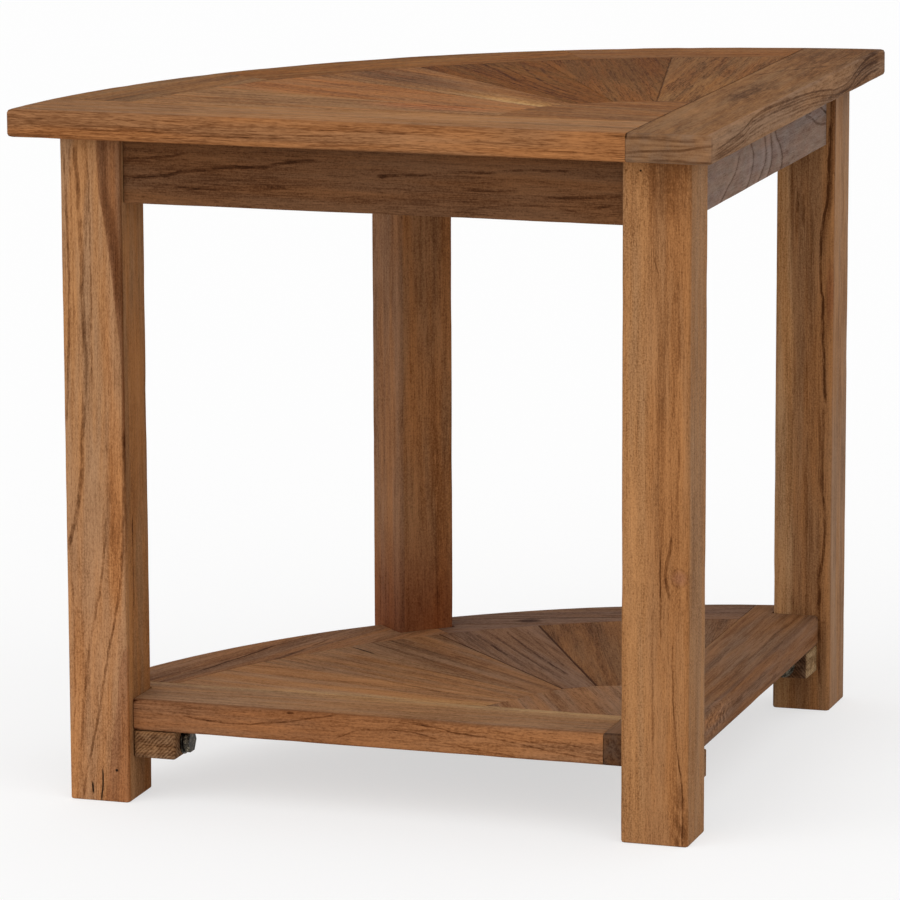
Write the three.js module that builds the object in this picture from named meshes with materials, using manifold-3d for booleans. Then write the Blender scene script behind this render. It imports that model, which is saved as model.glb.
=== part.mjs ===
// Quarter-round corner side table in reclaimed teak, with a fan-laid top and a fan-laid lower shelf.
// Millimetres, +Z up. The straight front edge runs along X and the straight right edge along Y.
// All plan positions are counted from the corner leg's outer corner, from which the table reaches
// towards -X and +Y. The finished group is moved so that its origin is the bottom centre of its box.

import * as THREE from "three";
import { mergeVertices } from "three/addons/utils/BufferGeometryUtils.js";
import Module from "manifold-3d";

const wasm = await Module();
wasm.setup();
const { degToRad, radToDeg } = THREE.MathUtils;

// Driving dimensions: overall and legs. A leg's width runs along the front edge, its depth across.
const tableHeight = 550;
const cornerLegWidth = 53.5;
const cornerLegDepth = 51;
const leftLegWidth = 50;
const leftLegDepth = 52.5;
const rightLegWidth = 49;
const rightLegDepth = 54;
const backLegSection = 50;
const legArris = 3;
const legFootEase = 1.5;
const legSpan = 505; // corner leg's outer corner to an end leg's outer face
const backLegReach = 485.5; // corner leg's outer corner to the back leg's rear face, on the diagonal

// Rails and their tenons
const frontRailDepth = 51.5;
const rightRailDepth = 48;
const backRailDepth = 50;
const railThickness = 20;
const railInset = 7; // outer face of a straight rail, behind the legs' outer faces
const tenonLength = 20;
const tenonThickness = 8;
const tenonShoulder = 8; // above and below a tenon

// Top
const topThickness = 22;
const topArris = 3;
const topOverhang = 21; // past the legs' outer faces, on the straight sides
const topReach = 539; // corner leg's outer corner to the top's ends, along the straight sides
const topArcRadius = 612;
const topBoardWidth = 66;
const topBandWidth = 67;
const topHubReach = 121; // inner corner of the edge boards to the corners of the fan's centre
const topHubTipReach = 121; // the same, along the boards

// Shelf
const shelfThickness = 25;
const shelfArris = 2.5;
const shelfHeight = 82; // floor to its upper face
const shelfInset = 10; // behind the legs' outer faces
const shelfLeftInset = 2; // left end, behind the left leg's outer face
const shelfLeftReturn = 7.5; // straight run of the left end, past the left leg
const shelfRightReach = 492; // corner leg's outer corner to the curve's end on the right edge
const shelfArcRadius = 617;
const shelfBoardWidth = 60;
const shelfBandWidth = 57;
const shelfHubReach = 101;
const shelfHubTipReach = 113;
const notchClearance = 0.6; // shelf to a leg that stands in its notch

// Cleats under the shelf
const cleatLength = 35;
const cleatWidth = 42;
const cleatHeight = 22;
const cleatArris = 2;
const cleatEase = 1;
const leftCleatInset = 10; // behind the leg's outer face
const rightCleatInset = 10.5;
const cornerCleatInset = 8;
const boltDrop = 10.6; // cleat's upper face to the bolt's axis

// Cleat bolts and washers
const boltDiameter = 10;
const boltEmbedment = 30; // shank's length inside the leg
const boltPoint = 4;
const boltHeadHeight = 5;
const boltHeadAcross = 16.5; // across the flats of the hexagon
const washerDiameter = 21;
const washerThickness = 1.5;

// Wood screws
const screwDiameter = 4;
const screwHeadDiameter = 8.5;
const screwHeadHeight = 3;
const screwPoint = 5;
const topScrewGrip = 25; // wood between a top screw's head and the top
const topScrewBite = 14; // thread inside the top
const shelfScrewGrip = 18;
const shelfScrewBite = 16;
const shelfScrewOffset = 12; // screw's axis to the bolt's axis, across the cleat

// Clearances
const glueLine = 0.3; // between neighbouring pieces
const holeClearance = 0.3; // fastener to its hole, on the radius
const overrun = 5; // how far a cutter runs past a face

// Seams of the two fans, in degrees from the front board, and joints of their curved bands, in
// degrees from the front edge, about the curve's centre
const rightAngle = 90;
const topSeamAngles = [15, 30, 45, 61, 77];
const topBandAngles = [30, 60];
const shelfSeamAngles = [15, 30, 45, 61, 76];
const shelfBandAngles = [48];

// Counts and shares
const arcSteps = 64; // in a quarter turn
const arrisSteps = 2;
const roundSides = 12;
const straightRailScrewShares = [0.25, 0.75];
const backRailScrewShares = [0.15, 0.85];
const shelfScrewShare = 0.75; // along the cleat, from the leg
const screwCrownShare = 0.7; // a screw head's flat crown to its full width
const boltPointShare = 0.5; // a bolt's blunt end to its full width

const weldTolerance = 1e-4; // corners this close are one corner

// Heights that follow
const topUnderside = tableHeight - topThickness;
const legHeight = topUnderside - glueLine;
const shelfUnderside = shelfHeight - shelfThickness;
const cleatTop = shelfUnderside - glueLine;
const cleatBottom = shelfUnderside - cleatHeight;
const boltHeight = cleatTop - boltDrop;

// Teak tones, from light to dark, and plated steel
const tones = {
  honey: 0x9b6a41,
  tan: 0x99704c,
  brown: 0x855e42,
  umber: 0x6d4a2f,
  dark: 0x573823,
  grey: 0x735e53,
  steel: 0x77746c,
};

function teak(tone) {
  return new THREE.MeshStandardMaterial({ color: tones[tone], roughness: 0.6, metalness: 0 });
}

function platedSteel() {
  return new THREE.MeshStandardMaterial({ color: tones.steel, roughness: 0.35, metalness: 1 });
}

// A closed three.js geometry as a solid that can be joined and cut.
function solidOf(geometry) {
  const bare = new THREE.BufferGeometry();
  bare.setAttribute("position", geometry.getAttribute("position").clone());
  if (geometry.index) bare.setIndex(geometry.index.clone());
  const merged = mergeVertices(bare, weldTolerance);
  return new wasm.Manifold(
    new wasm.Mesh({
      numProp: 3,
      vertProperties: new Float32Array(merged.attributes.position.array),
      triVerts: new Uint32Array(merged.index.array),
    }),
  );
}

function geometryOf(solid) {
  const mesh = solid.getMesh();
  const geometry = new THREE.BufferGeometry();
  geometry.setAttribute("position", new THREE.BufferAttribute(mesh.vertProperties, 3));
  geometry.setIndex(new THREE.BufferAttribute(mesh.triVerts, 1));
  const flat = geometry.toNonIndexed();
  flat.computeVertexNormals();
  return flat;
}

const point = (x, y) => new THREE.Vector2(x, y);
const along = (origin, angle, distance) =>
  point(origin.x + distance * Math.cos(angle), origin.y + distance * Math.sin(angle));

// A plan outline raised between two heights.
function prism(points, low, high) {
  const shape = new THREE.Shape(points);
  const geometry = new THREE.ExtrudeGeometry(shape, { depth: high - low, bevelEnabled: false });
  geometry.translate(0, 0, low);
  return solidOf(geometry);
}

// An outline raised between two heights, with eased edges above and below.
function easedPrism(shape, low, high, arris) {
  const geometry = new THREE.ExtrudeGeometry(shape, {
    depth: high - low - 2 * arris,
    curveSegments: arcSteps / 2,
    bevelThickness: arris,
    bevelSize: arris,
    bevelOffset: -arris,
    bevelSegments: arrisSteps,
  });
  geometry.translate(0, 0, low + arris);
  return solidOf(geometry);
}

// A rectangle with round corners, centred on its own origin.
function easedRectangle(width, depth, arris) {
  const x = width / 2 - arris;
  const y = depth / 2 - arris;
  const shape = new THREE.Shape();
  const corners = [point(x, y), point(-x, y), point(-x, -y), point(x, -y)];
  for (const [turn, corner] of corners.entries()) {
    for (let step = 0; step <= arrisSteps; step += 1) {
      const angle = (turn + step / arrisSteps) * (Math.PI / 2);
      const at = along(corner, angle, arris);
      if (turn === 0 && step === 0) shape.moveTo(at.x, at.y);
      else shape.lineTo(at.x, at.y);
    }
  }
  return shape;
}

// A straight bar on a plan line, run past both of its ends.
function bar(start, end, extension, thickness, low, high) {
  const angle = Math.atan2(end.y - start.y, end.x - start.x);
  const near = along(start, angle, -extension);
  const far = along(end, angle, extension);
  const side = angle + Math.PI / 2;
  const outline = [
    along(near, side, -thickness / 2),
    along(far, side, -thickness / 2),
    along(far, side, thickness / 2),
    along(near, side, thickness / 2),
  ];
  return prism(outline, low, high);
}

function cylinder(radius, centre, low, high, sides) {
  const geometry = new THREE.CylinderGeometry(radius, radius, high - low, sides);
  geometry.rotateX(Math.PI / 2);
  geometry.translate(centre.x, centre.y, (low + high) / 2);
  return solidOf(geometry);
}

// The radius of a faceted hole that clears a faceted pin whose corners lie on the given radius.
const clearing = (radius) => (radius + holeClearance) / Math.cos(Math.PI / roundSides);

const upright = (radius, centre, low, high) => cylinder(radius, centre, low, high, roundSides);

function turned(profile) {
  const geometry = new THREE.LatheGeometry(profile, roundSides);
  geometry.rotateX(Math.PI / 2);
  return geometry;
}

// Legs

const diagonal = (3 * Math.PI) / 4; // from the right-angled corner to the middle of the curve
const corner = point(0, 0);

const legs = {
  corner: {
    width: cornerLegWidth,
    depth: cornerLegDepth,
    centre: point(-cornerLegWidth / 2, cornerLegDepth / 2),
    turn: 0,
    tone: "honey",
  },
  left: {
    width: leftLegWidth,
    depth: leftLegDepth,
    centre: point(-legSpan + leftLegWidth / 2, leftLegDepth / 2),
    turn: 0,
    tone: "tan",
  },
  right: {
    width: rightLegWidth,
    depth: rightLegDepth,
    centre: point(-rightLegWidth / 2, legSpan - rightLegDepth / 2),
    turn: 0,
    tone: "brown",
  },
  back: {
    width: backLegSection,
    depth: backLegSection,
    centre: along(corner, diagonal, backLegReach - backLegSection / 2),
    turn: Math.PI / 4,
    tone: "umber",
  },
};

// The room that a leg takes up, grown by a clearance and taller than the table.
function legRoom(leg, clearance) {
  const x = leg.width / 2 + clearance;
  const y = leg.depth / 2 + clearance;
  return prism([point(-x, -y), point(x, -y), point(x, y), point(-x, y)], -overrun, tableHeight + overrun)
    .rotate([0, 0, radToDeg(leg.turn)])
    .translate([leg.centre.x, leg.centre.y, 0]);
}

function legBlank(leg) {
  return easedPrism(easedRectangle(leg.width, leg.depth, legArris), 0, legHeight, legFootEase)
    .rotate([0, 0, radToDeg(leg.turn)])
    .translate([leg.centre.x, leg.centre.y, 0]);
}

// Rails: each runs on a plan line from one leg's face to the next one's

const straightLine = railInset + railThickness / 2;
const backLegFace = backLegSection / 2;

const rails = {
  front_rail: {
    start: point(-legSpan + leftLegWidth, straightLine),
    end: point(-cornerLegWidth, straightLine),
    depth: frontRailDepth,
    screwShares: straightRailScrewShares,
    tone: "dark",
  },
  right_rail: {
    start: point(-straightLine, cornerLegDepth),
    end: point(-straightLine, legSpan - rightLegDepth),
    depth: rightRailDepth,
    screwShares: straightRailScrewShares,
    tone: "grey",
  },
  back_left_rail: {
    start: point(legs.left.centre.x, leftLegDepth),
    end: along(legs.back.centre, legs.back.turn, -backLegFace),
    depth: backRailDepth,
    screwShares: backRailScrewShares,
    tone: "umber",
  },
  back_right_rail: {
    start: along(legs.back.centre, legs.back.turn, backLegFace),
    end: point(-rightLegWidth, legs.right.centre.y),
    depth: backRailDepth,
    screwShares: backRailScrewShares,
    tone: "umber",
  },
};

const tenonOf = (rail, clearance) =>
  bar(
    rail.start,
    rail.end,
    tenonLength + clearance,
    tenonThickness + 2 * clearance,
    topUnderside - rail.depth + tenonShoulder - clearance,
    topUnderside - glueLine - tenonShoulder + clearance,
  );

function railSolid(rail) {
  const low = topUnderside - rail.depth;
  let solid = bar(rail.start, rail.end, tenonLength, railThickness, low, topUnderside - glueLine);
  for (const leg of Object.values(legs)) solid = solid.subtract(legRoom(leg, glueLine));
  return solid.add(tenonOf(rail, 0));
}

// Top screws, in the rails

const topScrews = [];
for (const rail of Object.values(rails)) {
  for (const share of rail.screwShares) topScrews.push(rail.start.clone().lerp(rail.end, share));
}

const topScrewSeat = topUnderside - topScrewGrip;
const topScrewHoleReach = Math.max(frontRailDepth, rightRailDepth, backRailDepth) + overrun;

function topScrewHole(centre) {
  const head = clearing(screwHeadDiameter / 2);
  const shank = clearing(screwDiameter / 2);
  const tip = topUnderside + topScrewBite + holeClearance;
  return upright(head, centre, topUnderside - topScrewHoleReach, topScrewSeat).add(
    upright(shank, centre, topScrewSeat - overrun, tip),
  );
}

// Cleats: each lies on one face of its leg and points away from it

const cleats = {
  corner: {
    seat: point(-cornerCleatInset - cleatWidth / 2, cornerLegDepth),
    heading: Math.PI / 2,
  },
  left: {
    seat: point(-legSpan + leftLegWidth, leftCleatInset + cleatWidth / 2),
    heading: 0,
  },
  right: {
    seat: point(-rightCleatInset - cleatWidth / 2, legSpan - rightLegDepth),
    heading: -Math.PI / 2,
  },
  back: {
    seat: along(legs.back.centre, diagonal, -backLegFace),
    heading: diagonal - Math.PI,
  },
};

// A solid drawn with its length on +X and its width on Y, laid on a cleat's seat.
const atSeat = (solid, cleat) =>
  solid.rotate([0, 0, radToDeg(cleat.heading)]).translate([cleat.seat.x, cleat.seat.y, 0]);

function shelfScrewPlace(cleat) {
  const out = along(cleat.seat, cleat.heading, cleatLength * shelfScrewShare);
  return along(out, cleat.heading + Math.PI / 2, shelfScrewOffset);
}

const shelfScrewSeat = shelfUnderside - shelfScrewGrip;

function shelfScrewHole(cleat) {
  const centre = shelfScrewPlace(cleat);
  const head = clearing(screwHeadDiameter / 2);
  const shank = clearing(screwDiameter / 2);
  const tip = shelfUnderside + shelfScrewBite + holeClearance;
  return upright(head, centre, cleatBottom - overrun, shelfScrewSeat).add(
    upright(shank, centre, shelfScrewSeat - overrun, tip),
  );
}

function boltHole(cleat) {
  const reach = cleatLength + overrun + boltEmbedment + holeClearance;
  const geometry = new THREE.CylinderGeometry(
    clearing(boltDiameter / 2),
    clearing(boltDiameter / 2),
    reach,
    roundSides,
  );
  geometry.rotateZ(Math.PI / 2);
  geometry.translate(cleatLength + overrun - reach / 2, 0, boltHeight);
  return atSeat(solidOf(geometry), cleat);
}

function cleatSolid(cleat) {
  const block = easedPrism(
    easedRectangle(cleatLength - glueLine, cleatWidth, cleatArris),
    cleatBottom,
    cleatTop,
    cleatEase,
  );
  const laid = atSeat(block.translate([(cleatLength + glueLine) / 2, 0, 0]), cleat);
  return laid.subtract(boltHole(cleat)).subtract(shelfScrewHole(cleat));
}

// Fan-laid panels. A panel has a board along each straight edge, a band along the curve, rays that
// spread from the boards' inner corner, and a faceted piece in that corner.

const topPanel = {
  name: "top",
  edge: topOverhang,
  leftEnd: point(-topReach, -topOverhang),
  rightEnd: point(topOverhang, topReach),
  radius: topArcRadius,
  boardWidth: topBoardWidth,
  bandWidth: topBandWidth,
  bandNames: ["band_left", "band_middle", "band_right"],
  bandAngles: topBandAngles,
  seamAngles: topSeamAngles,
  hubReach: topHubReach,
  hubTipReach: topHubTipReach,
  arris: topArris,
  low: topUnderside,
  high: tableHeight,
  tones: {
    front_board: "tan",
    right_board: "brown",
    band: "umber",
    centre: "brown",
    rays: ["honey", "honey", "tan", "umber", "umber", "brown"],
  },
};

const shelfPanel = {
  name: "shelf",
  edge: -shelfInset,
  leftEnd: point(-legSpan + shelfLeftInset, leftLegDepth + shelfLeftReturn),
  rightEnd: point(-shelfInset, shelfRightReach),
  radius: shelfArcRadius,
  boardWidth: shelfBoardWidth,
  bandWidth: shelfBandWidth,
  bandNames: ["band_left", "band_right"],
  bandAngles: shelfBandAngles,
  seamAngles: shelfSeamAngles,
  hubReach: shelfHubReach,
  hubTipReach: shelfHubTipReach,
  arris: shelfArris,
  low: shelfUnderside,
  high: shelfHeight,
  tones: {
    front_board: "tan",
    right_board: "grey",
    band: "umber",
    centre: "brown",
    rays: ["honey", "brown", "brown", "grey", "umber", "umber"],
  },
};

// The centre of the panel's curve, which runs from its right end to its left end.
function arcCentre(panel) {
  const chord = panel.leftEnd.clone().sub(panel.rightEnd);
  const middle = panel.leftEnd.clone().lerp(panel.rightEnd, 0.5);
  const rise = Math.sqrt(panel.radius ** 2 - (chord.length() / 2) ** 2);
  return along(middle, chord.angle() + Math.PI / 2, rise);
}

function panelBlank(panel) {
  const centre = arcCentre(panel);
  const from = panel.rightEnd.clone().sub(centre).angle();
  const to = panel.leftEnd.clone().sub(centre).angle();
  const start = along(centre, from, panel.radius);
  const shape = new THREE.Shape();
  shape.moveTo(panel.edge, -panel.edge);
  shape.lineTo(start.x, start.y);
  shape.absarc(centre.x, centre.y, panel.radius, from, to, false);
  if (panel.leftEnd.y > -panel.edge) shape.lineTo(panel.leftEnd.x, -panel.edge);
  shape.closePath();
  return easedPrism(shape, panel.low, panel.high, panel.arris);
}

// The stretches of a right angle between its seams, each as its two ends in degrees.
function stretches(seams) {
  const ends = [0, ...seams, rightAngle];
  return ends.slice(1).map((end, index) => [ends[index], end]);
}

// A plan direction, given in degrees from the direction of the front edge.
const fanDirection = (angle) => Math.PI - degToRad(angle);

// A plan wedge between two such directions, its sides drawn in by half a glue line.
function wedge(apex, [from, to], near, far, low, high) {
  const outline = [];
  const halfAngle = degToRad(to - from) / 2;
  const direction = fanDirection((from + to) / 2);
  const drawnIn = glueLine / 2 / Math.cos(halfAngle);
  for (const [distance, side] of [[near, -1], [far, -1], [far, 1], [near, 1]]) {
    const across = side * (distance * Math.tan(halfAngle) - drawnIn);
    outline.push(along(along(apex, direction, distance), direction + Math.PI / 2, across));
  }
  return prism(outline, low, high);
}

// The faceted centre of a fan, its corners on the rays' seams and along the boards.
function hub(panel, apex, growth, low, high) {
  const outline = [apex];
  const corners = [0, ...panel.seamAngles, rightAngle];
  const reaches = panel.seamAngles.map(() => panel.hubReach);
  for (const [index, reach] of [panel.hubTipReach, ...reaches, panel.hubTipReach].entries()) {
    outline.push(along(apex, fanDirection(corners[index]), reach + growth));
  }
  return prism(outline, low, high);
}

function panelPieces(panel) {
  const pieces = [];
  const blank = panelBlank(panel);
  const low = panel.low - overrun;
  const high = panel.high + overrun;
  const far = panel.leftEnd.distanceTo(panel.rightEnd) + overrun;
  const seam = glueLine / 2;
  const inner = panel.boardWidth - panel.edge;
  const apex = point(-inner, inner);
  const arc = arcCentre(panel);
  const add = (name, tone, solid) => pieces.push({ name: `${panel.name}_${name}`, tone, solid });

  // Everything to one side of a plan line parallel to a straight edge
  const room = (x0, x1, y0, y1) =>
    prism([point(x0, y0), point(x1, y0), point(x1, y1), point(x0, y1)], low, high);
  const leftOf = (x) => room(-far, x, -far, far);
  const rearOf = (y) => room(-far, far, y, far);

  const field = blank.intersect(leftOf(-inner - seam));
  add("right_board", panel.tones.right_board, blank.subtract(leftOf(-inner + seam)));
  add("front_board", panel.tones.front_board, field.subtract(rearOf(inner - seam)));

  const rear = field.intersect(rearOf(inner + seam));
  const curve = panel.radius - panel.bandWidth;
  const ring = rear.subtract(cylinder(curve + seam, arc, low, high, 4 * arcSteps));
  const fan = rear.intersect(cylinder(curve - seam, arc, low, high, 4 * arcSteps));

  for (const [index, stretch] of stretches(panel.bandAngles).entries()) {
    const sector = wedge(arc, stretch, curve / 2, 2 * far, low, high);
    add(panel.bandNames[index], panel.tones.band, ring.intersect(sector));
  }

  const rays = fan.subtract(hub(panel, apex, seam, low, high));
  for (const [index, stretch] of stretches(panel.seamAngles).entries()) {
    const taper = wedge(apex, stretch, panel.hubReach / 2, far, low, high);
    add(`ray_${index + 1}`, panel.tones.rays[index], rays.intersect(taper));
  }

  add("fan_centre", panel.tones.centre, fan.intersect(hub(panel, apex, -seam, low, high)));
  return pieces;
}

// Fasteners, each drawn along +Z from under its head

function boltGeometry() {
  const shank = boltDiameter / 2;
  const length = cleatLength + washerThickness + glueLine + boltEmbedment;
  const profile = [
    point(0, -glueLine),
    point(shank, -glueLine),
    point(shank, length - boltPoint),
    point(shank * boltPointShare, length),
    point(0, length),
  ];
  const head = new THREE.CylinderGeometry(
    boltHeadAcross / 2 / Math.cos(Math.PI / 6),
    boltHeadAcross / 2 / Math.cos(Math.PI / 6),
    boltHeadHeight,
    6,
  );
  head.rotateX(Math.PI / 2);
  head.translate(0, 0, -boltHeadHeight / 2);
  return geometryOf(solidOf(turned(profile)).add(solidOf(head)));
}

function washerGeometry() {
  const bore = clearing(boltDiameter / 2);
  const rim = washerDiameter / 2;
  const profile = [
    point(bore, 0),
    point(rim, 0),
    point(rim, washerThickness),
    point(bore, washerThickness),
    point(bore, 0),
  ];
  const geometry = new THREE.LatheGeometry(profile, 2 * roundSides);
  geometry.rotateX(Math.PI / 2);
  return geometry;
}

function screwGeometry(length) {
  const shank = screwDiameter / 2;
  const head = screwHeadDiameter / 2;
  const profile = [
    point(0, -screwHeadHeight),
    point(head * screwCrownShare, -screwHeadHeight),
    point(head, -screwHeadHeight / 2),
    point(head, 0),
    point(shank, 0),
    point(shank, length - screwPoint),
    point(0, length),
  ];
  return turned(profile);
}

// Assembly

const table = new THREE.Group();

function addMesh(parent, name, geometry, material) {
  const mesh = new THREE.Mesh(geometry, material);
  mesh.name = name;
  parent.add(mesh);
  return mesh;
}

for (const [side, leg] of Object.entries(legs)) {
  let solid = legBlank(leg);
  for (const rail of Object.values(rails)) solid = solid.subtract(tenonOf(rail, glueLine));
  solid = solid.subtract(boltHole(cleats[side]));
  addMesh(table, `${side}_leg`, geometryOf(solid), teak(leg.tone));
}

for (const [name, rail] of Object.entries(rails)) {
  let solid = railSolid(rail);
  for (const screw of topScrews) solid = solid.subtract(topScrewHole(screw));
  addMesh(table, name, geometryOf(solid), teak(rail.tone));
}

for (const piece of panelPieces(topPanel)) {
  let solid = piece.solid;
  for (const screw of topScrews) solid = solid.subtract(topScrewHole(screw));
  addMesh(table, piece.name, geometryOf(solid), teak(piece.tone));
}

for (const piece of panelPieces(shelfPanel)) {
  let solid = piece.solid;
  for (const leg of Object.values(legs)) solid = solid.subtract(legRoom(leg, notchClearance));
  for (const cleat of Object.values(cleats)) solid = solid.subtract(shelfScrewHole(cleat));
  addMesh(table, piece.name, geometryOf(solid), teak(piece.tone));
}

for (const [side, cleat] of Object.entries(cleats)) {
  addMesh(table, `${side}_cleat`, geometryOf(cleatSolid(cleat)), teak("umber"));

  // The bolt lies along the cleat, its head outwards
  const bolted = new THREE.Group();
  bolted.position.set(cleat.seat.x, cleat.seat.y, boltHeight);
  bolted.rotation.z = cleat.heading;
  table.add(bolted);
  const lying = new THREE.Group();
  lying.position.x = cleatLength + glueLine;
  lying.rotation.y = -Math.PI / 2;
  bolted.add(lying);
  const bolt = addMesh(lying, `${side}_cleat_bolt`, boltGeometry(), platedSteel());
  bolt.position.z = -washerThickness - glueLine;
  const washer = addMesh(lying, `${side}_cleat_washer`, washerGeometry(), platedSteel());
  washer.position.z = -washerThickness;

  const place = shelfScrewPlace(cleat);
  const length = shelfScrewGrip + shelfScrewBite;
  const screw = addMesh(table, `${side}_shelf_screw`, screwGeometry(length), platedSteel());
  screw.position.set(place.x, place.y, shelfScrewSeat - glueLine);
}

for (const [index, place] of topScrews.entries()) {
  const length = topScrewGrip + topScrewBite;
  const screw = addMesh(table, `top_screw_${index + 1}`, screwGeometry(length), platedSteel());
  screw.position.set(place.x, place.y, topScrewSeat - glueLine);
}

// The origin goes to the bottom centre of the top's square
const topSide = topReach + topOverhang;
table.position.set(topSide / 2 - topOverhang, topOverhang - topSide / 2, 0);

const part = new THREE.Group();
part.add(table);

export default part;
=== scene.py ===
"""Quarter-round corner side table in reclaimed teak, dressed for its picture."""

import math
import random

import bmesh
import bpy
from mathutils import Matrix, Vector, noise


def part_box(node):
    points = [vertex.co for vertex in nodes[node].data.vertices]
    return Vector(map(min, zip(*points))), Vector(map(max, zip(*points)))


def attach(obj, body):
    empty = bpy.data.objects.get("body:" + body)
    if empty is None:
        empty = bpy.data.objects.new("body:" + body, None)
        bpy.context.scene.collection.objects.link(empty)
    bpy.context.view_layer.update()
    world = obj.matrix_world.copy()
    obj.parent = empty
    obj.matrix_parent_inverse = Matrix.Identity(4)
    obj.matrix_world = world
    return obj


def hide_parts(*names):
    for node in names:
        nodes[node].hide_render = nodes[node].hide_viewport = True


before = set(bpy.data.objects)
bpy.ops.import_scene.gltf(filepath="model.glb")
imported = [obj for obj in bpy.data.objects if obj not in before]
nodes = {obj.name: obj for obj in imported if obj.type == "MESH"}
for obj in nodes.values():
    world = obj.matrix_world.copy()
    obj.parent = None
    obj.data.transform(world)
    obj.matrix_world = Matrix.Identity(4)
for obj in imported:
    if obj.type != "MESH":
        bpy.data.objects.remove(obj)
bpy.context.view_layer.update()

MM = 0.001

# Camera: a long lens, a little above the table, seen from the front and the right. Its place is in
# metres, its angles in radians, and its lens and film in millimetres
CAMERA_PLACE = Vector((1.2944, -4.0810, 1.0909))
CAMERA_TURN = 0.3100
CAMERA_PITCH = 0.1949
CAMERA_ROLL = -0.0036
CAMERA_LENS = 214.8
CAMERA_SENSOR = 36.0

X_AXIS = Vector((1, 0, 0))
Y_AXIS = Vector((0, 1, 0))
Z_AXIS = Vector((0, 0, 1))

WHITE = (1, 1, 1, 1)


def linear(colour):
    """A colour given in 0 to 255 as it is seen, as linear light."""
    def channel(value):
        share = value / 255
        return share / 12.92 if share <= 0.04045 else ((share + 0.055) / 1.055) ** 2.4
    return tuple(channel(value) for value in colour)


def scaled(colour, factors):
    """A linear colour times one factor per channel, with full alpha."""
    return (*(channel * factor for channel, factor in zip(colour, factors)), 1.0)


# Shader maths


class Wire:
    """One output of a finish's nodes. Arithmetic on it adds Math nodes."""

    def __init__(self, finish, socket):
        self.finish = finish
        self.socket = socket

    def math(self, operation, *others):
        return self.finish.node("Math", {"operation": operation}, dict(enumerate((self, *others))))

    def __add__(self, other):
        return self.math("ADD", other)

    __radd__ = __add__

    def __sub__(self, other):
        return self.math("SUBTRACT", other)

    def __rsub__(self, other):
        return self.finish.node("Math", {"operation": "SUBTRACT"}, {0: other, 1: self})

    def __mul__(self, other):
        return self.math("MULTIPLY", other)

    __rmul__ = __mul__

    def __truediv__(self, other):
        return self.math("DIVIDE", other)

    def __pow__(self, other):
        return self.math("POWER", other)

    def __abs__(self):
        return self.math("ABSOLUTE")

    def most(self, other):
        return self.math("MAXIMUM", other)

    def share(self, low, high):
        """Evenly from 0 at low to 1 at high."""
        return self.finish.node("MapRange", None, {0: self, 1: low, 2: high, 3: 0.0, 4: 1.0})

    def rise(self, low, high):
        """Smoothly from 0 at low to 1 at high."""
        inputs = {0: self, 1: low, 2: high, 3: 0.0, 4: 1.0}
        return self.finish.node("MapRange", {"interpolation_type": "SMOOTHSTEP"}, inputs)

    def fall(self, low, high):
        """Smoothly from 1 at low to 0 at high."""
        inputs = {0: self, 1: low, 2: high, 3: 1.0, 4: 0.0}
        return self.finish.node("MapRange", {"interpolation_type": "SMOOTHSTEP"}, inputs)


class Finish:
    """The nodes of a material or of the world, under construction."""

    def __init__(self, owner):
        owner.use_nodes = True
        self.owner = owner
        self.tree = owner.node_tree
        self.tree.nodes.clear()

    def node(self, kind, settings, inputs, output=0):
        """Adds a node: its settings first, then the values or the links of its sockets."""
        made = self.tree.nodes.new("ShaderNode" + kind)
        for name, value in (settings or {}).items():
            if name == "stops":
                ramp = made.color_ramp
                while len(ramp.elements) < len(value):
                    ramp.elements.new(0.5)
                for element, (position, colour) in zip(ramp.elements, value):
                    element.position = position
                    element.color = colour
            elif name == "points":
                curve = made.mapping.curves[0]
                curve.points[0].location = value[0]
                curve.points[1].location = value[-1]
                for point in value[1:-1]:
                    curve.points.new(*point)
                made.mapping.update()
            else:
                setattr(made, name, value)
        for name, value in (inputs or {}).items():
            if isinstance(value, Wire):
                self.tree.links.new(value.socket, made.inputs[name])
            else:
                made.inputs[name].default_value = value
        return Wire(self, made.outputs[output])

    def mix(self, factor, first, second, blend="MIX"):
        """One colour laid over another."""
        settings = {"data_type": "RGBA", "blend_type": blend}
        return self.node("Mix", settings, {0: factor, 6: first, 7: second}, 2)

    def noise(self, point, stretch, detail, roughness, shift):
        """Noise on a point, with one cell per unit of point times stretch, moved by a shift."""
        offset = (shift, shift * 0.37, shift * 0.71)
        moved = self.node("VectorMath", {"operation": "MULTIPLY_ADD"}, {0: point, 1: stretch, 2: offset})
        inputs = {"Vector": moved, "Scale": 1.0, "Detail": detail, "Roughness": roughness}
        return self.node("TexNoise", None, inputs)

    def surface(self, inputs, height, relief):
        """The material's shader, with a relief of the given depth in metres."""
        bump = {"Strength": 1.0, "Distance": relief, "Height": height}
        normal = self.node("Bump", None, bump)
        self.show(self.node("BsdfPrincipled", None, {**inputs, "Normal": normal}))

    def show(self, shader, output="OutputMaterial"):
        """Ends the finish with a shader, on a surface or on the world."""
        made = self.tree.nodes.new("ShaderNode" + output)
        self.tree.links.new(shader.socket, made.inputs["Surface"])

    def seen(self):
        """1 where the camera, a reflection or glass shows this, 0 where it only gives light."""
        camera, glossy, glass = (
            self.node("LightPath", None, None, f"Is {kind} Ray")
            for kind in ("Camera", "Glossy", "Transmission")
        )
        return camera.most(glossy).most(glass)


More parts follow.
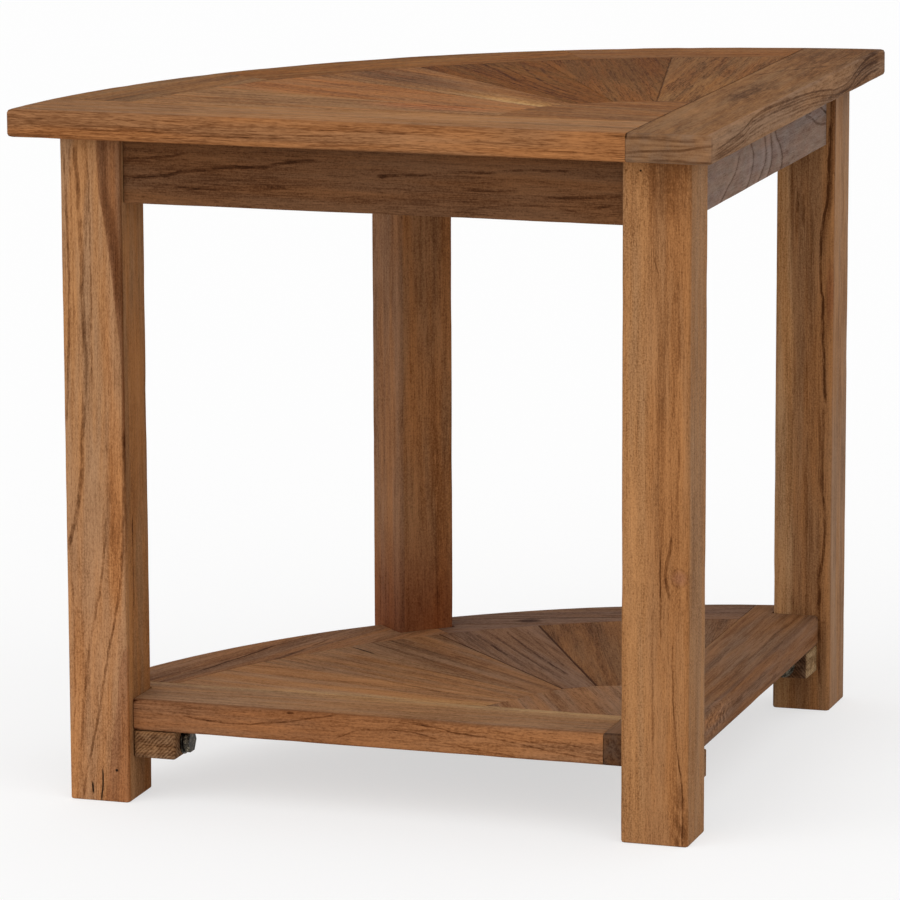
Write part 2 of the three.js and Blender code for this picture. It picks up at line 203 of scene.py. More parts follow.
class Face:
    """One face of a piece: millimetres along it and across it, and how far marks on it sink in."""

    # Millimetres over which a mark fades out below its reach
    FADE = 2.0

    def __init__(self, along, across, depth, reach=2.5):
        self.along = along
        self.across = across
        self.near = depth.fall(reach, reach + self.FADE)

    def course(self, points):
        """How far across the face a smooth line through some points (along, across) lies."""
        points = sorted(points)
        first, last = points[0][0], points[-1][0]
        low = min(across for _, across in points)
        span = max(max(across for _, across in points) - low, 1.0)
        shares = [((along - first) / (last - first), (across - low) / span) for along, across in points]
        curve = self.along.finish.node(
            "FloatCurve", {"points": shares}, {1: self.along.share(first, last)}
        )
        return low + span * curve

    def line(self, points, width, soft, taper=6.0, drift=0.0):
        """1 on a line through some points, thinning out at its ends."""
        first = min(along for along, _ in points)
        last = max(along for along, _ in points)
        away = abs(self.across + drift - self.course(points))
        ends = self.along.rise(first - 1, first + taper) * self.along.fall(last - taper, last + 1)
        return away.fall(0.5 * width, 0.5 * width + soft) * ends * self.near

    def beyond(self, points, soft):
        """0 on the low side of a line through some points, 1 on its high side."""
        return (self.across - self.course(points)).rise(-soft, soft) * self.near

    def oval(self, place, size, soft):
        """1 in an oval of given half sizes, with a soft rim as a share of them."""
        along = (self.along - place[0]) / size[0]
        across = (self.across - place[1]) / size[1]
        away = (along * along + across * across) ** 0.5
        return away.fall(1 - soft, 1 + soft) * self.near


# A piece's own tone times these shares, at steps of its grain from the darkest to the lightest
TEAK_STEPS = (0.0, 0.3, 0.5, 1.0)
TEAK_SHARES = ((0.24, 0.18, 0.14), (0.62, 0.55, 0.50), (1, 1, 1), (1.62, 1.66, 1.68))

# How far a warm place leaves the tone in red, green and blue. A grey place leaves it the other way
WARM_SWING = (0.10, -0.02, -0.22)

CRACK_COLOUR = (0.012, 0.007, 0.004, 1)
TEAK_GLOSS = 0.03
GRAIN_RELIEF = 0.22 * MM


class Timber(Finish):
    """Teak cut from a log: a solid pattern in millimetres along, across and below the surface."""

    # How much a pore darkens the grain, and how far the growth rings wander, in millimetres
    PORES = 0.08
    WANDER = 14.0

    def __init__(self, name, origin, axes, tone):
        super().__init__(bpy.data.materials.new(name))
        self.draw = random.Random(name)
        self.tone = linear(tone)
        self.seed = self.draw.uniform(0, 90)
        self.tints = []
        self.gaps = None
        place = self.node("TexCoord", None, None, "Object")
        mapping = {"Vector": place, "Location": origin, "Rotation": axes.to_euler(), "Scale": (MM,) * 3}
        point = self.node("Mapping", {"vector_type": "TEXTURE"}, mapping)
        self.along = self.node("SeparateXYZ", None, {0: point}, 0)
        self.across = self.node("SeparateXYZ", None, {0: point}, 1)
        self.below = self.node("SeparateXYZ", None, {0: point}, 2)

    def outer(self):
        """The face that the pattern starts at: a leg's front, or a board's upper face."""
        return Face(self.along, self.across, self.below)

    def grow(
        self, spacing=7.0, rings=0.14, bands=0.45, streaks=0.5, fibres=0.5, specks=0.5, clouds=0.35,
        warmth=0.6, fineness=1.7, speckle=(0.5, 1.1), lean=None, pith=None,
    ):
        """The grain, as a value about 0.5: growth rings round a pith, streaks, fibres and pores."""
        seed = self.seed
        pith_across, pith_below = pith or (self.draw.uniform(-30, 30), self.draw.uniform(25, 60))
        if lean is None:
            lean = self.draw.uniform(-0.03, 0.03)
        across = self.across + lean * self.along
        point = self.node("CombineXYZ", None, {0: self.along, 1: across, 2: self.below})
        drift = self.noise(point, (0.005, 0.02, 0.02), 1.0, 0.5, seed) - 0.5
        sideways = across - pith_across + self.WANDER * drift
        downwards = self.below - pith_below + 0.6 * self.WANDER * drift
        radius = (sideways * sideways + downwards * downwards) ** 0.5
        phase = radius / spacing + self.noise(point, (0.012, 0.08, 0.08), 2.0, 0.5, seed + 3)
        ring = phase.math("FRACT")
        turn = self.node("CombineXYZ", None, {0: phase, 1: seed, 2: 0.0})
        self.point = point
        self.late = (ring ** 4) * ring.fall(0.94, 1.0)
        self.fibre = self.noise(point, (0.05, fineness, fineness), 2.0, 0.65, seed + 11)
        speck = self.noise(point, (*speckle, speckle[1]), 2.0, 0.7, seed + 17)
        self.pore = self.noise(point, (0.2, 1.3, 1.3), 1.0, 0.5, seed + 23).rise(0.60, 0.70)
        band = self.noise(turn, (0.45, 1, 1), 2.0, 0.6, seed)
        streak = self.noise(point, (0.008, 0.26, 0.26), 3.0, 0.62, seed + 7)
        cloud = self.noise(point, (0.010, 0.035, 0.035), 2.0, 0.5, seed + 19)
        self.hue = self.noise(point, (0.006, 0.07, 0.07), 2.0, 0.5, seed + 29)
        self.warmth = warmth
        value = 0.5 + bands * (band - 0.5) + streaks * (streak - 0.5) + clouds * (cloud - 0.5)
        value = value + fibres * (self.fibre - 0.5) + specks * (speck - 0.5)
        self.value = value - rings * self.late - self.PORES * self.pore

    def curl(self, mask, amount):
        """The pitted look of curly grain, where a mask is 1."""
        fleck = self.noise(self.point, (0.75, 0.6, 0.6), 2.0, 0.6, self.seed + 31)
        self.value = self.value + amount * mask * (fleck - 0.5)

    def blotches(self, size, stretch=1.0, shift=0.0):
        """Soft spots from 0 to 1, of a size in mm across the grain and longer along it."""
        scale = 1 / size
        spots = self.noise(self.point, (scale / stretch, scale, scale), 3.0, 0.6, self.seed + 43 + shift)
        return spots.share(0.35, 0.65)

    def calm(self, mask, share):
        """Evens the grain out toward its middle tone, where a mask is 1."""
        self.value = self.value + share * mask * (0.5 - self.value)

    def shade(self, mask, amount):
        """Darkens the grain where a mask is 1. A negative amount lightens it."""
        self.value = self.value - amount * mask

    def tint(self, mask, tone):
        """Turns the wood's own tone into another one, where a mask is 1."""
        wanted = linear(tone)
        self.tints.append((mask, scaled(wanted, tuple(1 / channel for channel in self.tone))))

    def split(self, mask):
        """An open crack or a hole, where a mask is 1."""
        self.gaps = mask if self.gaps is None else self.gaps.most(mask)

    def lines(self, face, courses):
        """Uneven dark lines of grain: their width in mm, how much they darken, and their points."""
        broken = 0.3 + 1.1 * self.blotches(5, 3)
        drift = 2.4 * (self.noise(self.point, (0.06, 0.06, 0.06), 2.0, 0.6, self.seed + 41) - 0.5)
        for width, amount, points in courses:
            self.shade(face.line(points, width, 0.9 * width, 8, drift) * broken, amount)

    def finished(self):
        """The ramp from dark to light teak, and the oiled surface."""
        stops = [(step, scaled(self.tone, share)) for step, share in zip(TEAK_STEPS, TEAK_SHARES)]
        colour = self.node("ValToRGB", {"stops": stops}, {0: self.value})
        warm = (*(1 + self.warmth * swing for swing in WARM_SWING), 1)
        grey = (*(1 - self.warmth * swing for swing in WARM_SWING), 1)
        hue = self.mix(self.hue.rise(0.36, 0.64), grey, warm)
        colour = self.mix(1.0, colour, hue, "MULTIPLY")
        for mask, factor in self.tints:
            colour = self.mix(mask, colour, factor, "MULTIPLY")
        height = self.fibre - 0.6 * self.pore - 0.3 * self.late
        if self.gaps is not None:
            colour = self.mix(self.gaps, colour, CRACK_COLOUR)
            height = height - 3 * self.gaps
        roughness = 0.75 - 0.2 * (self.fibre - 0.5)
        inputs = {"Base Color": colour, "Roughness": roughness, "Specular IOR Level": TEAK_GLOSS}
        self.surface(inputs, height, GRAIN_RELIEF)
        return self.owner


def plan_axes(angle):
    """Along a fan direction in degrees from the front board, across it, and down."""
    turn = math.radians(angle)
    along = Vector((-math.cos(turn), math.sin(turn), 0))
    across = Vector((math.sin(turn), math.cos(turn), 0))
    return Matrix((along, across, Vector((0, 0, -1)))).transposed()


def upright_axes(angle):
    """Up along a leg turned by some degrees, across its front face, and back."""
    turn = math.radians(angle)
    across = Vector((math.cos(turn), math.sin(turn), 0))
    back = Vector((-math.sin(turn), math.cos(turn), 0))
    return Matrix((Vector((0, 0, 1)), across, back)).transposed()


# Pieces from their plain solids

MERGE = 0.01 * MM
FLAT_ANGLE = math.radians(0.5)
SMOOTH_ANGLE = math.radians(40)
FLAT_FACE_WEIGHT = 80

# Wear on wood: the step between places where an arris wears, the angle that makes an arris, and
# how many long waves and short nicks of wear go to a metre
WEAR_STEP = 14 * MM
ARRIS_ANGLE = math.radians(15)
WEAR_WAVES = 22
WEAR_NICKS = 90


def eased(name, angle, length, ease, clamp):
    """A plain solid with its outer edges eased, if sharper than an angle and longer than a length."""
    mesh = bmesh.new()
    mesh.from_mesh(nodes[name].data)
    bmesh.ops.remove_doubles(mesh, verts=mesh.verts, dist=MERGE)
    bmesh.ops.dissolve_limit(mesh, angle_limit=FLAT_ANGLE, verts=mesh.verts, edges=mesh.edges)
    edges = [
        edge
        for edge in mesh.edges
        if edge.is_manifold and edge.is_convex
        and edge.calc_face_angle() > math.radians(angle) and edge.calc_length() > length * MM
    ]
    bmesh.ops.bevel(
        mesh, geom=edges, offset=ease * MM, offset_type="OFFSET", segments=2, profile=0.5,
        affect="EDGES", clamp_overlap=clamp, material=-1,
    )
    return mesh


def cut_across(mesh, name, along):
    """Cuts a piece's long faces at even steps, so that its arrises can wear between them."""
    low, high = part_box(name)
    span = abs(along.dot(high - low))
    start = min(along.dot(low), along.dot(high))
    for index in range(1, int(span / WEAR_STEP)):
        geometry = mesh.verts[:] + mesh.edges[:] + mesh.faces[:]
        place = along * (start + index * WEAR_STEP)
        bmesh.ops.bisect_plane(mesh, geom=geometry, dist=1e-6, plane_co=place, plane_no=along)


def wooden(name, material, ease=0.35, wear=0.5, along=None):
    """A wooden piece: edges eased, and arrises worn unevenly by up to about wear in mm."""
    mesh = eased(name, angle=55, length=12, ease=ease, clamp=False)
    bmesh.ops.dissolve_degenerate(mesh, dist=MERGE, edges=mesh.edges)
    if along is not None:
        cut_across(mesh, name, along)
    mesh.normal_update()
    for vertex in mesh.verts:
        arrises = sum(edge.calc_face_angle(0) > ARRIS_ANGLE for edge in vertex.link_edges)
        if arrises >= 2:
            uneven = noise.noise(vertex.co * WEAR_WAVES) + 0.4 * noise.noise(vertex.co * WEAR_NICKS)
            vertex.co -= vertex.normal * wear * MM * max(0.0, uneven)
    return placed(name, mesh, material)


def placed(name, mesh, material):
    """Puts a finished mesh in the scene, in place of its plain solid."""
    data = bpy.data.meshes.new(name + "_dressed")
    mesh.to_mesh(data)
    mesh.free()
    data.materials.append(material)
    piece = bpy.data.objects.new(name + "_dressed", data)
    bpy.context.scene.collection.objects.link(piece)
    data.shade_smooth()
    data.set_sharp_from_angle(angle=SMOOTH_ANGLE)
    smooth = piece.modifiers.new("even_faces", "WEIGHTED_NORMAL")
    smooth.keep_sharp = True
    smooth.weight = FLAT_FACE_WEIGHT
    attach(piece, "root")
    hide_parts(name)
    return piece


# Legs. Marks lie at (along, across) their face in millimetres, and tones are given in 0 to 255


def mark_corner_leg(wood):
    """Pitted grain on the left, straight orange grain on the right, a knot, and painted shade at the top."""
    front = wood.outer()
    right_part = front.beyond([(0, 19), (180, 21), (520, 21)], 5)
    wood.curl(1 - 0.6 * right_part, 0.6)
    wood.tint(0.5 * right_part, (154, 104, 63))
    wood.tint(0.8 * wood.below.rise(0.5, 4), (148, 110, 77))
    # A mottled patch of painted shade at the top right of the front, below the table top's overhang
    wood.shade(front.oval((514, 35), (28, 19), 0.5) * (0.4 + 0.8 * wood.blotches(4)), 0.18)
    wood.tint(0.5 * front.oval((210, 46), (5, 5.5), 0.7), (140, 98, 82))
    wood.shade(front.oval((18, 47), (26, 7), 0.6) * wood.blotches(3, 3), 0.3)
    wood.shade(front.line([(150, 31.5), (300, 31), (430, 33)], 4, 3, 60), 0.10)
    wood.shade(front.line([(20, 8), (200, 9), (400, 8)], 4, 3, 60), -0.08)
    wood.shade(front.oval((424, 42), (4, 1.6), 0.6), 0.12)
    wood.shade(abs(front.oval((210, 46), (7, 6.5), 0.35) - 0.5).fall(0.05, 0.45), 0.07)
    wood.lines(front, (
        (0.7, 0.30, [(160, 31.4), (200, 31.2), (236, 31.3)]),
        (1.2, 0.26, [(190, 39.5), (196, 38), (206, 36), (215, 35.6), (229, 38.2), (244, 40.4)]),
        (0.6, 0.30, [(0, 49), (46, 48.8), (61, 46.9), (76, 45), (93, 43.2), (107, 42), (130, 41.3),
                     (162, 41)]),
        (0.7, 0.22, [(505, 15), (507, 18.7), (511, 21.5)]),
        (0.5, 0.40, [(439, 30), (447, 26.9), (457, 24.4)]),
        (0.9, 0.12, [(60, 27), (140, 25.4), (220, 26)]),
        (0.9, 0.12, [(250, 44), (340, 45.4), (440, 43.6)]),
    ))
    wood.shade(front.oval((519.3, 3.3), (0.9, 0.9), 0.4), 0.3)
    wood.split(front.oval((519.4, 14.7), (0.7, 0.7), 0.3))


def mark_left_leg(wood):
    """Pale tan beside dark brown past a slanting line, brown veins, and short cracks at the foot."""
    front = wood.outer()
    side = Face(wood.along, wood.below, 50 - wood.across)
    edge = [(200, 48.5), (252, 50), (304, 48.8), (356, 48.2), (386, 45.6), (404, 43.6), (438, 39.8),
            (469, 35.2), (488, 32), (522, 30.7)]
    dark = front.beyond(edge, 0.7) * wood.along.rise(190, 230)
    wood.tint(0.85 * dark, (126, 84, 55))
    wood.tint(wood.below.rise(0.5, 2), (153, 107, 67))
    shadowed = abs(wood.across - front.course(edge) - 5).fall(1, 6) * wood.along.rise(340, 420)
    wood.shade(shadowed * dark, 0.22)
    wood.tint(0.5 * front.oval((300, 42), (130, 7), 0.7), (172, 118, 74))
    wood.tint(0.4 * wood.along.fall(120, 330) * front.near, (172, 118, 76))
    wood.curl(wood.along.fall(190, 260), 0.4)
    wood.tint(0.6 * front.beyond([(0, 30), (28, 34), (52, 37), (82, 41), (110, 44), (130, 52)], 0.8)
              * wood.along.fall(120, 130), (134, 88, 58))
    wood.lines(front, (
        (1.8, 0.27, [(200, 1.5), (215, 5.5), (229, 9.2), (244, 12.2), (256, 14), (293, 15.7), (325, 17.6),
                     (348, 18.8), (396, 17.8), (444, 16.7), (480, 15.2), (522, 13.2)]),
        (1.0, 0.26, [(300, 2), (350, 5), (420, 6.4), (468, 5.4), (522, 3.5)]),
        (1.0, 0.24, [(0, 12), (11, 12.7), (28, 15.9), (45, 19.8), (78, 26.9), (116, 33.4), (149, 40.4),
                     (167, 43.6), (184, 46.4), (230, 48.4), (300, 49.6)]),
        (1.1, 0.18, [(40, 10), (80, 13), (109, 16.5), (144, 22.3), (179, 29.5), (230, 34)]),
        (0.7, 0.3, [(294, 36.1), (306, 35.8)]),
        (0.7, 0.3, [(278, 35.8), (292, 35.2)]),
        (0.8, 0.18, [(330, 24), (420, 24.8), (522, 22)]),
        (0.8, 0.16, [(380, 10), (450, 9.6), (522, 8.4)]),
        (0.8, 0.14, [(60, 4), (120, 6), (180, 4.6)]),
    ))
    wood.lines(side, ((1.2, 0.3, [(150, 16.8), (182, 16.1), (230, 16)]),))
    wood.split(front.line([(5, 19.9), (16, 19.2)], 0.8, 0.6, 3))
    wood.split(front.line([(-2, 26.6), (4, 26.9), (16, 28.1), (28, 27.9)], 0.5, 0.6, 6))
    wood.split(front.oval((26, 39.8), (1, 1), 0.4))


def mark_right_leg(wood):
    """A paler strip on the left, dark at the top, and a long dark split near the right edge."""
    front = wood.outer()
    right_part = front.beyond([(0, 15), (250, 16), (420, 12), (520, 10)], 2)
    # Its right part's tone is partly the wood's own, partly painted light that lifts it out of the shade
    # under the table
    wood.tint(0.9 * right_part, (139, 97, 62))
    wood.tint(0.9 * wood.below.rise(0.5, 4), (139, 105, 78))
    opening = [(262, 43.4), (300, 42), (332, 40.4), (344, 41), (361, 38.6), (384, 38.2), (404, 38.8),
               (421, 41), (441, 43.7), (476, 44.5), (500, 45)]
    beside = wood.across - front.course(opening)
    wood.shade(beside.rise(0, 0.5) * beside.fall(2, 7) * wood.along.rise(380, 430) * front.near, 0.3)
    wood.shade(front.oval((460, 26), (70, 16), 0.7) * (0.4 + wood.blotches(4, 6)), 0.10)
    wood.tint(0.5 * front.oval((355, 46.5), (24, 3), 0.6), (132, 80, 54))
    wood.curl(front.near, 0.4)
    wood.lines(front, (
        (1.1, 0.46, opening),
        (1.3, 0.28, [(20, 41.5), (81, 40), (119, 41), (164, 44.3), (194, 41.5), (262, 42.4)]),
        (1.2, 0.16, [(60, 38), (160, 39.4), (260, 38.6)]),
        (1.6, 0.26, [(399, 18.7), (412, 17.6), (430, 18.4), (446, 20)]),
        (1.4, 0.22, [(410, 22), (424, 23), (440, 22)]),
        (0.8, 0.2, [(436, 12), (442, 14.5), (446, 18)]),
        (0.8, 0.14, [(40, 27), (140, 28.5), (300, 27)]),
    ))


def mark_back_leg(wood):
    """Lighter on the left face, redder at the foot."""
    wood.tint(wood.across.fall(26, 29), (132, 93, 64))
    wood.tint(0.9 * wood.along.fall(80, 190), (122, 68, 38))
    wood.shade(wood.blotches(5, 6) - 0.5, 0.10)
    wood.curl(1.0, 0.5)


LEGS = {
    "corner_leg": {
        "tone": (155, 111, 72), "turn": 0, "marks": mark_corner_leg,
        "grain": {"spacing": 16, "lean": 0.005, "warmth": 0.35, "rings": 0.06, "bands": 0.2, "streaks": 0.36,
                  "clouds": 0.25},
    },
    "left_leg": {
        "tone": (161, 118, 81), "turn": 0, "marks": mark_left_leg,
        "grain": {"spacing": 18, "lean": -0.02, "warmth": 0.6, "rings": 0.08, "bands": 0.3, "streaks": 0.42},
    },
    # The right leg's tone is partly the wood's own, partly painted light that lifts it out of the shade under
    # the table
    "right_leg": {
        "tone": (164, 122, 82), "turn": 0, "marks": mark_right_leg,
        "grain": {"spacing": 12, "lean": 0.005, "warmth": 0.5, "rings": 0.1, "bands": 0.3},
    },
    "back_leg": {
        "tone": (142, 97, 61), "turn": 45, "marks": mark_back_leg,
        "grain": {"spacing": 10, "lean": 0.01, "warmth": 0.5, "rings": 0.1, "bands": 0.3},
    },
}


def make_legs():
    for name, leg in LEGS.items():
        low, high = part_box(name)
        wood = Timber(name, Vector((low.x, low.y, 0)), upright_axes(leg["turn"]), leg["tone"])
        wood.grow(**leg["grain"])
        leg["marks"](wood)
        piece = wooden(name, wood.finished(), along=Z_AXIS)


# Rails


def mark_front_rail(wood):
    """Dark wavy veins and a small dark knot."""
    front = Face(wood.along, wood.below, wood.across)
    wood.lines(front, (
        (1.0, 0.24, [(366, 9), (385, 13.5), (400, 15.3), (420, 16.7)]),
        (1.4, 0.30, [(262, 12), (284, 13.9), (304, 17.9), (317, 19.4), (339, 20.1), (360, 23.3), (374, 25.1),
                     (385, 28.4), (399, 29.4), (416, 32)]),
        (1.1, 0.30, [(60, 12.4), (101, 12.8), (127, 16.1), (155, 16.9), (187, 20.1), (212, 22.2)]),
        (0.8, 0.16, [(327, 38.4), (341, 33.9), (356, 36.5), (374, 40.2)]),
        (0.8, 0.16, [(53, 44.5), (92, 39.9), (120, 42), (149, 46)]),
        (1.0, 0.26, [(100, 29), (120, 29.4), (147, 30.3)]),
        (1.2, 0.30, [(20, 29), (62, 31.9), (85, 33.5)]),
        (1.0, 0.24, [(24, 36.6), (36, 38), (47, 40)]),
        (0.9, 0.24, [(340, 38), (365, 37.3), (382, 36.8)]),
        (0.9, 0.20, [(340, 35), (352, 33), (372, 33)]),
    ))
    wood.shade(front.oval((301, 34), (12, 1.6), 0.6) * (0.3 + wood.blotches(3)), 0.36)
    wood.shade(front.oval((211, 22.2), (4, 1.6), 0.5), 0.4)
    wood.shade(front.oval((380, 22), (60, 14), 0.7) * wood.blotches(4, 5), 0.14)
    wood.curl(front.near, 0.4)


def mark_right_rail(wood):
    """Growth rings that cross the rail as steep arcs."""
    upright = Face(wood.below, wood.along, -1 * wood.across)
    arcs = (
        [(18, 138), (29, 128), (39, 103), (48, 80)],
        [(-2, 160), (15, 175), (25, 182), (39, 174), (49, 146)],
        [(-2, 208), (18, 218), (31, 221), (40, 210), (50, 186)],
        [(-2, 228), (19, 237), (33, 240), (43, 232), (50, 214)],
        [(-2, 240), (19, 254), (31, 269), (40, 273), (49, 258)],
    )
    for points in arcs:
        wood.shade(upright.line(points, 1.0, 2.0, 2), 0.2)
        wood.shade(upright.line(points, 3.0, 7.0, 2), 0.08)
        paler = [(below, along - 8) for below, along in points]
        wood.shade(upright.line(paler, 3.0, 6.0, 2), -0.09)
    outer = Face(wood.along, wood.below, -1 * wood.across)
    wood.lines(outer, (
        (1.2, 0.30, [(330, 4.6), (340, 4.7), (364, 5.2), (391, 11.6), (419, 20.8), (436, 24.7)]),
        (1.2, 0.26, [(343, 13.4), (370, 20), (394, 27.1), (433, 31)]),
        (1.0, 0.22, [(277, 4.5), (310, 5.2), (340, 11.3), (370, 15.8)]),
    ))
    wood.shade(wood.blotches(6, 3), 0.1)
    wood.tint(0.4 * wood.blotches(9, 2, 5), (126, 92, 78))


RAILS = {
    "front_rail": {
        "tone": (100, 67, 43), "angle": 0, "marks": mark_front_rail,
        "grain": {"spacing": 9, "rings": 0.12, "bands": 0.4, "warmth": 0.4, "fibres": 0.8},
    },
    "right_rail": {
        "tone": (126, 108, 97), "angle": 90, "marks": mark_right_rail,
        "grain": {"spacing": 20, "rings": 0.05, "bands": 0.2, "warmth": 0.3, "streaks": 0.3},
    },
    "back_left_rail": {"tone": (112, 78, 52), "angle": 62, "grain": {}},
    "back_right_rail": {"tone": (112, 78, 52), "angle": 28, "grain": {}},
}


def make_rails():
    for name, rail in RAILS.items():
        low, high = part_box(name)
        origin = Vector((high.x, low.y, high.z))
        wood = Timber(name, origin, plan_axes(rail["angle"]), rail["tone"])
        wood.grow(**rail["grain"])
        if "marks" in rail:
            rail["marks"](wood)
        straight = {0: X_AXIS, 90: Y_AXIS}.get(rail["angle"])
        piece = wooden(name, wood.finished(), along=straight)


# Fan-laid panels

# Widths of the boards along the straight edges, in millimetres
TOP_BOARD = 65.85
SHELF_BOARD = 59.85


def panel_apex(panel):
    """The inner corner of a panel's edge boards, on its upper face."""
    front_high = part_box(panel + "_front_board")[1]
    right_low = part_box(panel + "_right_board")[0]
    return Vector((right_low.x, front_high.y, front_high.z))


def mark_top_front(wood):
    """Greyer on its upper face, orange on its edge, with long fine dark streaks there."""
    edge = Face(wood.along, wood.below, wood.across + TOP_BOARD, 4)
    wood.tint(0.9 * edge.near, (145, 97, 60))
    wood.shade((1 - edge.near) * wood.along.rise(250, 440), 0.09)
    wood.shade(edge.near * wood.along.rise(200, 340), 0.08)
    wood.shade(edge.near * (wood.blotches(1.2, 24) - 0.5), 0.08)
    wood.lines(edge, (
        (0.6, 0.24, [(220, 10.8), (300, 12.6), (378, 13.6), (440, 13.7)]),
        (0.5, 0.15, [(120, 8), (165, 7.2), (225, 6.8), (260, 7.5)]),
        (0.6, 0.18, [(250, 13.5), (300, 14.6), (360, 15.4)]),
        (0.5, 0.14, [(-60, 12), (0, 10), (60, 10.4), (110, 12)]),
        (0.5, 0.14, [(-50, 17), (20, 15.5), (90, 16.5)]),
    ))


def mark_top_right(wood):
    """Greyish, with dark wavy veins down its side, and long lines on its front end."""
    side = Face(wood.along, wood.below, TOP_BOARD - wood.across, 4)
    end = Face(wood.across, wood.below, wood.along + TOP_BOARD, 4)
    top = wood.outer()
    wave = [(-60, 12.6), (-10, 10), (26, 7.6), (79, 1.4), (120, 1.2), (167, 2.5), (215, 4), (262, 6.9),
            (300, 10.6), (340, 13.2), (389, 7.6), (443, 1), (480, 0.6)]
    wood.tint(side.near * (1 - end.near), (135, 102, 75))
    wood.shade(wood.along.rise(350, 430), 0.18)
    wood.tint(end.near, (124, 92, 66))
    for step, amount in ((0, 0.32), (2.6, 0.14), (5, 0.24), (7.6, 0.13), (10, 0.20), (13, 0.14)):
        flatter = [(along, step + below * (1 - 0.02 * step)) for along, below in wave]
        wood.shade(side.line(flatter, 0.7, 0.9, 20), amount)
    wood.lines(side, (
        (1.0, 0.30, [(296, 16.7), (330, 18), (362, 17.8), (396, 11), (431, 6.8), (470, 8)]),
        (1.0, 0.26, [(374, 21), (413, 17), (448, 14.2), (480, 15)]),
    ))
    layers = wood.noise(wood.point, (0.1, 0.05, 0.6), 3.0, 0.6, wood.seed + 53)
    wood.calm(end.near, 0.7)
    wood.shade(end.near * (layers - 0.5), 0.7)
    for width, amount, points in (
        (1.6, 0.18, [(-4, 3.8), (28, 3), (46, 4), (58, 3)]),
        (0.7, 0.26, [(-6, 14.9), (1, 14.4), (22, 12.5), (39, 12), (54, 9.1), (70, 6.8)]),
        (0.8, 0.18, [(18, 20.8), (36, 19.2), (52, 20.4), (68, 19)]),
        (0.8, 0.10, [(-4, 9), (24, 8.2), (44, 7.6), (60, 5.6)]),
        (0.8, 0.10, [(-4, 18), (30, 16), (62, 13.6)]),
    ):
        wood.shade(end.line(points, width, 1.2), amount)
    wood.tint(0.4 * end.near * wood.across.rise(36, 60), (140, 98, 62))
    wood.shade(top.near * wood.across.fall(0.5, 1.6), 0.45)
    wood.shade(top.near * (wood.blotches(9, 4) - 0.5), 0.16)
    patches = 0.3 + wood.blotches(5, 4)
    wood.shade(top.oval((190, 28), (60, 13), 0.7) * patches, 0.28)
    wood.shade(top.oval((345, 34), (55, 18), 0.7) * patches, 0.20)
    wood.shade(top.oval((-20, 34), (40, 14), 0.7) * patches, 0.12)
    wood.shade(top.oval((90, 14), (60, 9), 0.7), -0.1)
    wood.lines(top, ((1.6, 0.24, [(290, 6), (315, 15), (345, 32), (372, 52)]),))


def mark_top_band_left(wood):
    """A short pale scratch in line with the front board."""
    along = 0.309 * wood.along + 0.951 * wood.across
    across = 0.309 * wood.across - 0.951 * wood.along
    top = Face(along, across, wood.below)
    wood.shade(top.line([(360, 87), (390, 86)], 1.4, 1.4), -0.3)


def mark_top_ray_1(wood):
    """Short reddish streaks near the fan's centre, darker at its outer end."""
    top = wood.outer()
    wood.shade(wood.along.rise(230, 340), 0.05)
    wood.tint(0.5 * top.oval((185, 12), (50, 16), 0.6), (164, 96, 58))
    wood.lines(top, (
        (2.6, 0.30, [(78, -23), (100, -21), (126, -20)]),
        (2.0, 0.22, [(100, -14), (118, -13), (140, -13)]),
        (2.0, 0.20, [(155, 14), (180, 19), (204, 24)]),
        (1.6, 0.18, [(165, 8), (190, 11), (215, 15)]),
    ))


def mark_top_ray_2(wood):
    """Darker at its outer end."""
    wood.shade(wood.along.rise(230, 340), 0.06)


def mark_top_ray_3(wood):
    """A strip of pale sapwood along its lower seam, brighter toward the centre."""
    top = wood.outer()
    seam = wood.across + 0.1317 * wood.along
    strip = seam.fall(18, 36)
    wood.tint(0.5 * strip * wood.along.fall(200, 420), (162, 118, 74))
    wood.tint(0.5 * seam.fall(8, 22) * wood.along.fall(120, 260), (186, 144, 94))
    wood.tint(0.6 * top.oval((310, -4), (80, 24), 0.5), (108, 72, 46))
    wood.shade(top.line([(134, -4), (200, 0), (263, 14), (341, 30)], 10, 12, 60), -0.08)


def mark_top_ray_4(wood):
    """Dark, with darker streaks that run out from the centre."""
    top = wood.outer()
    wood.shade(wood.along.rise(250, 340), 0.10)
    wood.lines(top, (
        (1.6, 0.24, [(153, -12), (228, -16), (300, -18), (380, -20)]),
        (1.4, 0.28, [(132, -6), (180, -9), (235, -10), (310, -4), (383, 3)]),
        (1.2, 0.20, [(150, 0), (235, -2), (300, 6), (370, 14)]),
        (1.4, 0.22, [(180, 4), (235, 6), (300, 16), (360, 30)]),
        (1.4, 0.18, [(220, 14), (280, 24), (340, 38)]),
    ))


def mark_top_ray_5(wood):
    """Lighter toward the centre, with pale scraped flecks at an outer corner."""
    top = wood.outer()
    wood.tint(wood.along.fall(190, 290), (116, 73, 34))
    wood.shade(top.oval((290, -20), (95, 24), 0.6) * (wood.blotches(3, 0.4) - 0.3), -0.22)
    wood.shade(top.line([(262, -34), (320, -41), (382, -49)], 3.0, 2.5), -0.36)


def mark_top_ray_6(wood):
    """Lighter toward the centre, with an open joint on its left."""
    wood.tint(wood.along.fall(210, 300), (126, 85, 47))
    wood.shade((wood.across + 0.114 * wood.along).fall(0.5, 1.5), 0.3)


